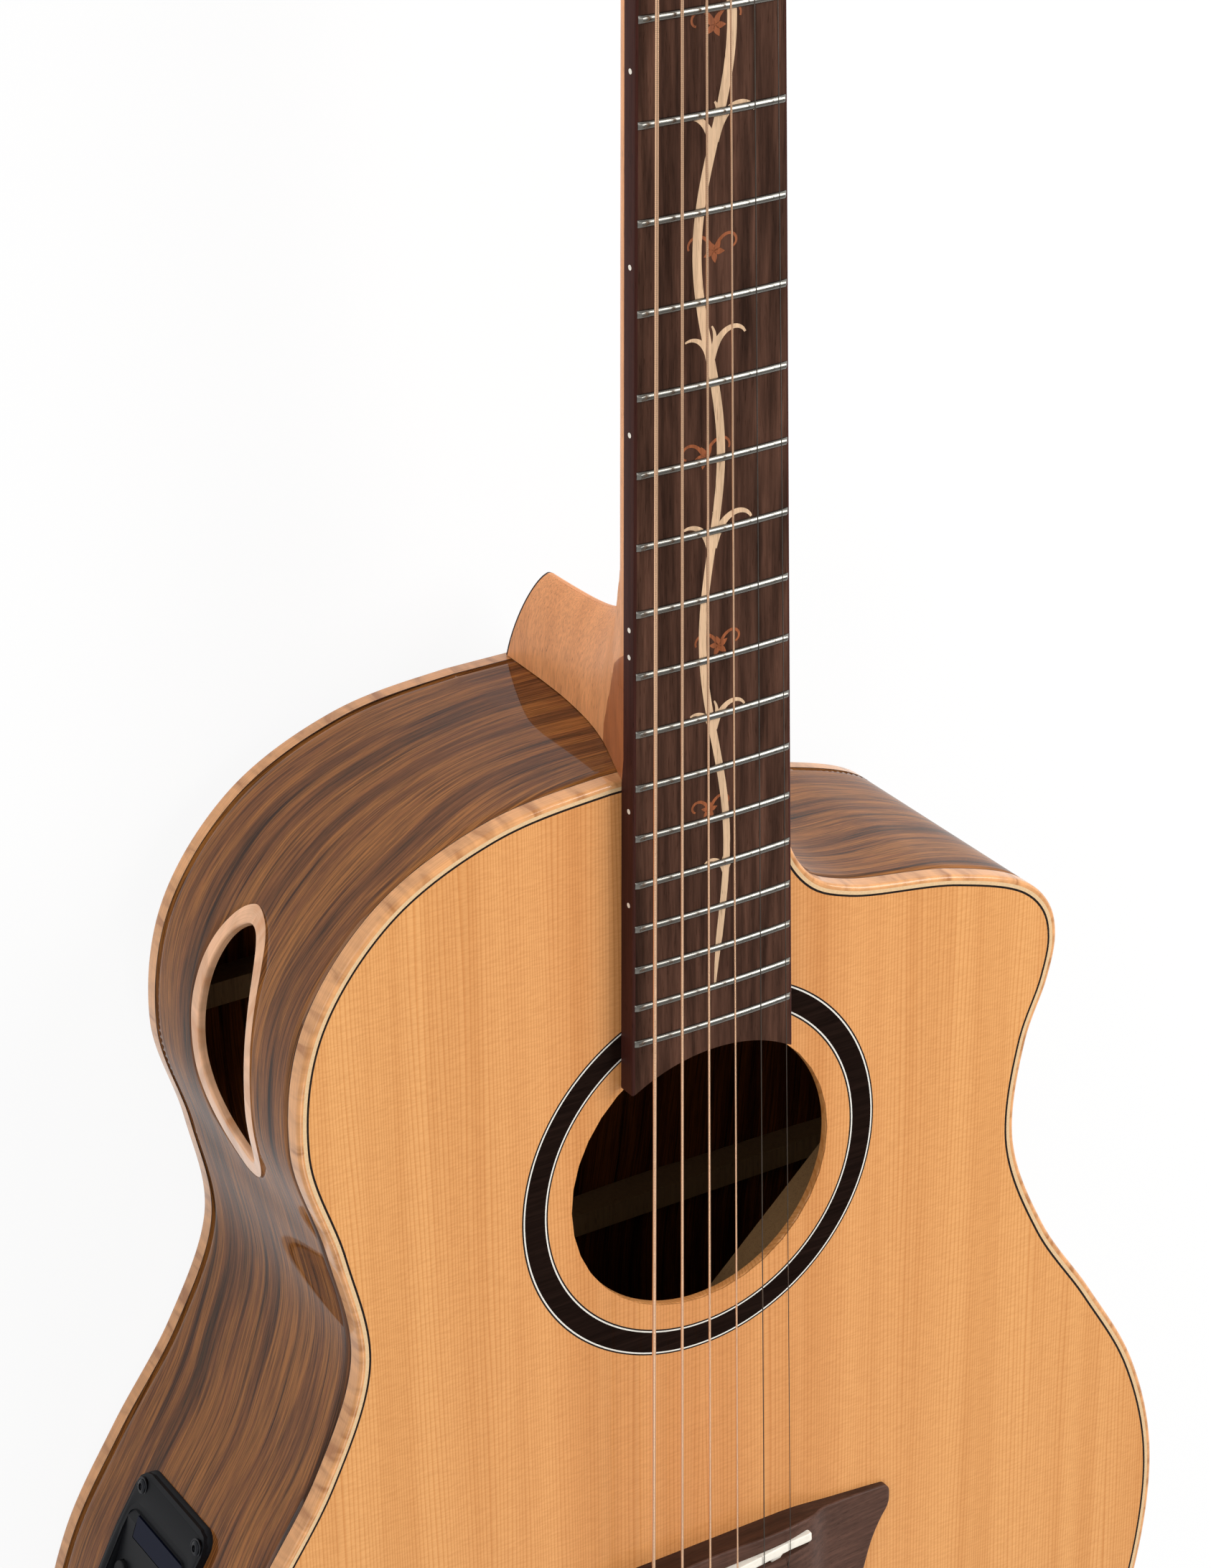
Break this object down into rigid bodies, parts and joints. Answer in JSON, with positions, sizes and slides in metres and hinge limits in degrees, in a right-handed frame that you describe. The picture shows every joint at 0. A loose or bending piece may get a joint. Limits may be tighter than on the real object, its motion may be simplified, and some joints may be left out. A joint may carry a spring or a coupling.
{
  "type": "acoustic electric guitar",
  "caption": "Steel-string acoustic guitar with a round cutaway, soundport in its side, side preamp with battery tray, turning tuners and pull-out bridge pins",
  "frame": {"origin": "on the guitar's centre line, under the middle of its length, at the lowest point of its domed back", "axes": "+X towards the thin strings, +Y towards the headstock, +Z out of the soundboard"},
  "size_m": [0.3769, 1.0508, 0.1262],
  "materials": {
    "spruce": "glossy amber spruce",
    "rosewood": "glossy brown rosewood",
    "maple": "glossy flamed maple",
    "dark_wood": "satin dark hardwood",
    "neck_wood": "satin brown hardwood",
    "brace_wood": "bare softwood",
    "bone": "polished bone colour",
    "steel": "plain steel",
    "bronze": "bronze wound steel",
    "chrome": "polished chrome",
    "black_plastic": "satin black",
    "display": "dark gloss",
    "battery_case": "painted case"
  },
  "bodies": {
    "guitar": {"soundboard": "spruce", "back": "rosewood", "side_bass": "rosewood", "side_treble": "rosewood", "binding_top": "maple", "binding_back": "maple", "lining_top": "brace_wood", "lining_back": "brace_wood", "neck_block": "neck_wood", "tail_block": "neck_wood", "top_bracing": "brace_wood", "back_bracing": "brace_wood", "rosette": "dark_wood", "soundport_ring": "maple", "neck": "neck_wood", "heel_cap": "dark_wood", "fretboard": "dark_wood", "nut": "bone", "bridge": "dark_wood", "saddle": "bone", "pickup": "black_plastic", "preamp_housing": "black_plastic", "preamp_window": "display", "endpin_jack": "chrome", "strap_button": "chrome", "string_1": "steel", "tuner_housing_1": "chrome", "string_2": "steel", "tuner_housing_2": "chrome", "string_3": "bronze", "tuner_housing_3": "chrome", "string_4": "bronze", "tuner_housing_4": "chrome", "string_5": "bronze", "tuner_housing_5": "chrome", "string_6": "bronze", "tuner_housing_6": "chrome"},
    "truss_rod_body": {"truss_rod": "steel"},
    "push_button_body": {"preamp_push_button": "black_plastic"},
    "volume_knob_body": {"volume_knob": "black_plastic"},
    "battery_tray_body": {"battery_tray": "black_plastic", "battery": "battery_case"},
    "bridge_pin_1_body": {"bridge_pin_1": "dark_wood"},
    "tuner_button_1_body": {"tuner_button_1": "chrome"},
    "tuner_post_1_body": {"tuner_post_1": "chrome"},
    "bridge_pin_2_body": {"bridge_pin_2": "dark_wood"},
    "tuner_button_2_body": {"tuner_button_2": "chrome"},
    "tuner_post_2_body": {"tuner_post_2": "chrome"},
    "bridge_pin_3_body": {"bridge_pin_3": "dark_wood"},
    "tuner_button_3_body": {"tuner_button_3": "chrome"},
    "tuner_post_3_body": {"tuner_post_3": "chrome"},
    "bridge_pin_4_body": {"bridge_pin_4": "dark_wood"},
    "tuner_button_4_body": {"tuner_button_4": "chrome"},
    "tuner_post_4_body": {"tuner_post_4": "chrome"},
    "bridge_pin_5_body": {"bridge_pin_5": "dark_wood"},
    "tuner_button_5_body": {"tuner_button_5": "chrome"},
    "tuner_post_5_body": {"tuner_post_5": "chrome"},
    "bridge_pin_6_body": {"bridge_pin_6": "dark_wood"},
    "tuner_button_6_body": {"tuner_button_6": "chrome"},
    "tuner_post_6_body": {"tuner_post_6": "chrome"}
  },
  "joints": [
    {"name": "tuner_button_1_turn", "type": "hinge", "parent": "guitar", "child": "tuner_button_1_body", "pos_m": [0.0215, 0.37557, 0.0842], "axis": [1, 0, 0], "continuous": true},
    {"name": "tuner_post_1_turn", "type": "hinge", "parent": "guitar", "child": "tuner_post_1_body", "pos_m": [0.0215, 0.38079, 0.10511], "axis": [0, 0.2419, 0.9703], "continuous": true},
    {"name": "tuner_button_2_turn", "type": "hinge", "parent": "guitar", "child": "tuner_button_2_body", "pos_m": [0.0237, 0.41342, 0.07476], "axis": [1, 0, 0], "continuous": true},
    {"name": "tuner_post_2_turn", "type": "hinge", "parent": "guitar", "child": "tuner_post_2_body", "pos_m": [0.0237, 0.41863, 0.09567], "axis": [0, 0.2419, 0.9703], "continuous": true},
    {"name": "tuner_button_3_turn", "type": "hinge", "parent": "guitar", "child": "tuner_button_3_body", "pos_m": [0.0259, 0.45126, 0.06533], "axis": [1, 0, 0], "continuous": true},
    {"name": "tuner_post_3_turn", "type": "hinge", "parent": "guitar", "child": "tuner_post_3_body", "pos_m": [0.0259, 0.45647, 0.08624], "axis": [0, 0.2419, 0.9703], "continuous": true},
    {"name": "tuner_button_4_turn", "type": "hinge", "parent": "guitar", "child": "tuner_button_4_body", "pos_m": [-0.0259, 0.45126, 0.06533], "axis": [-1, 0, 0], "continuous": true},
    {"name": "tuner_post_4_turn", "type": "hinge", "parent": "guitar", "child": "tuner_post_4_body", "pos_m": [-0.0259, 0.45647, 0.08624], "axis": [0, 0.2419, 0.9703], "continuous": true},
    {"name": "tuner_button_5_turn", "type": "hinge", "parent": "guitar", "child": "tuner_button_5_body", "pos_m": [-0.0237, 0.41342, 0.07476], "axis": [-1, 0, 0], "continuous": true},
    {"name": "tuner_post_5_turn", "type": "hinge", "parent": "guitar", "child": "tuner_post_5_body", "pos_m": [-0.0237, 0.41863, 0.09567], "axis": [0, 0.2419, 0.9703], "continuous": true},
    {"name": "tuner_button_6_turn", "type": "hinge", "parent": "guitar", "child": "tuner_button_6_body", "pos_m": [-0.0215, 0.37557, 0.0842], "axis": [-1, 0, 0], "continuous": true},
    {"name": "tuner_post_6_turn", "type": "hinge", "parent": "guitar", "child": "tuner_post_6_body", "pos_m": [-0.0215, 0.38079, 0.10511], "axis": [0, 0.2419, 0.9703], "continuous": true},
    {"name": "bridge_pin_1_pull", "type": "slide", "parent": "guitar", "child": "bridge_pin_1_body", "axis": [0, 0, 1], "range_m": [0, 0.025]},
    {"name": "bridge_pin_2_pull", "type": "slide", "parent": "guitar", "child": "bridge_pin_2_body", "axis": [0, 0, 1], "range_m": [0, 0.025]},
    {"name": "bridge_pin_3_pull", "type": "slide", "parent": "guitar", "child": "bridge_pin_3_body", "axis": [0, 0, 1], "range_m": [0, 0.025]},
    {"name": "bridge_pin_4_pull", "type": "slide", "parent": "guitar", "child": "bridge_pin_4_body", "axis": [0, 0, 1], "range_m": [0, 0.025]},
    {"name": "bridge_pin_5_pull", "type": "slide", "parent": "guitar", "child": "bridge_pin_5_body", "axis": [0, 0, 1], "range_m": [0, 0.025]},
    {"name": "bridge_pin_6_pull", "type": "slide", "parent": "guitar", "child": "bridge_pin_6_body", "axis": [0, 0, 1], "range_m": [0, 0.025]},
    {"name": "volume_turn", "type": "hinge", "parent": "guitar", "child": "volume_knob_body", "pos_m": [-0.17602, -0.29469, 0.06356], "axis": [-0.9448, 0.3275, 0], "range_deg": [-140, 140]},
    {"name": "push_button_press", "type": "slide", "parent": "guitar", "child": "push_button_body", "axis": [0.9448, -0.3275, 0], "range_m": [0, 0.001], "stiffness_N_per_m": 300, "springref_m": -0.001},
    {"name": "battery_tray_slide", "type": "slide", "parent": "guitar", "child": "battery_tray_body", "axis": [-0.9448, 0.3275, 0], "range_m": [0, 0.052]},
    {"name": "truss_rod_turn", "type": "hinge", "parent": "guitar", "child": "truss_rod_body", "pos_m": [0, -0.03611, 0.10376], "axis": [0, 1, 0], "range_deg": [-180, 180]}
  ],
  "couplings": [
    {"joint": "tuner_post_1_turn", "follows": "tuner_button_1_turn", "ratio": -0.055556},
    {"joint": "tuner_post_2_turn", "follows": "tuner_button_2_turn", "ratio": -0.055556},
    {"joint": "tuner_post_3_turn", "follows": "tuner_button_3_turn", "ratio": -0.055556},
    {"joint": "tuner_post_4_turn", "follows": "tuner_button_4_turn", "ratio": 0.055556},
    {"joint": "tuner_post_5_turn", "follows": "tuner_button_5_turn", "ratio": 0.055556},
    {"joint": "tuner_post_6_turn", "follows": "tuner_button_6_turn", "ratio": 0.055556}
  ]
}
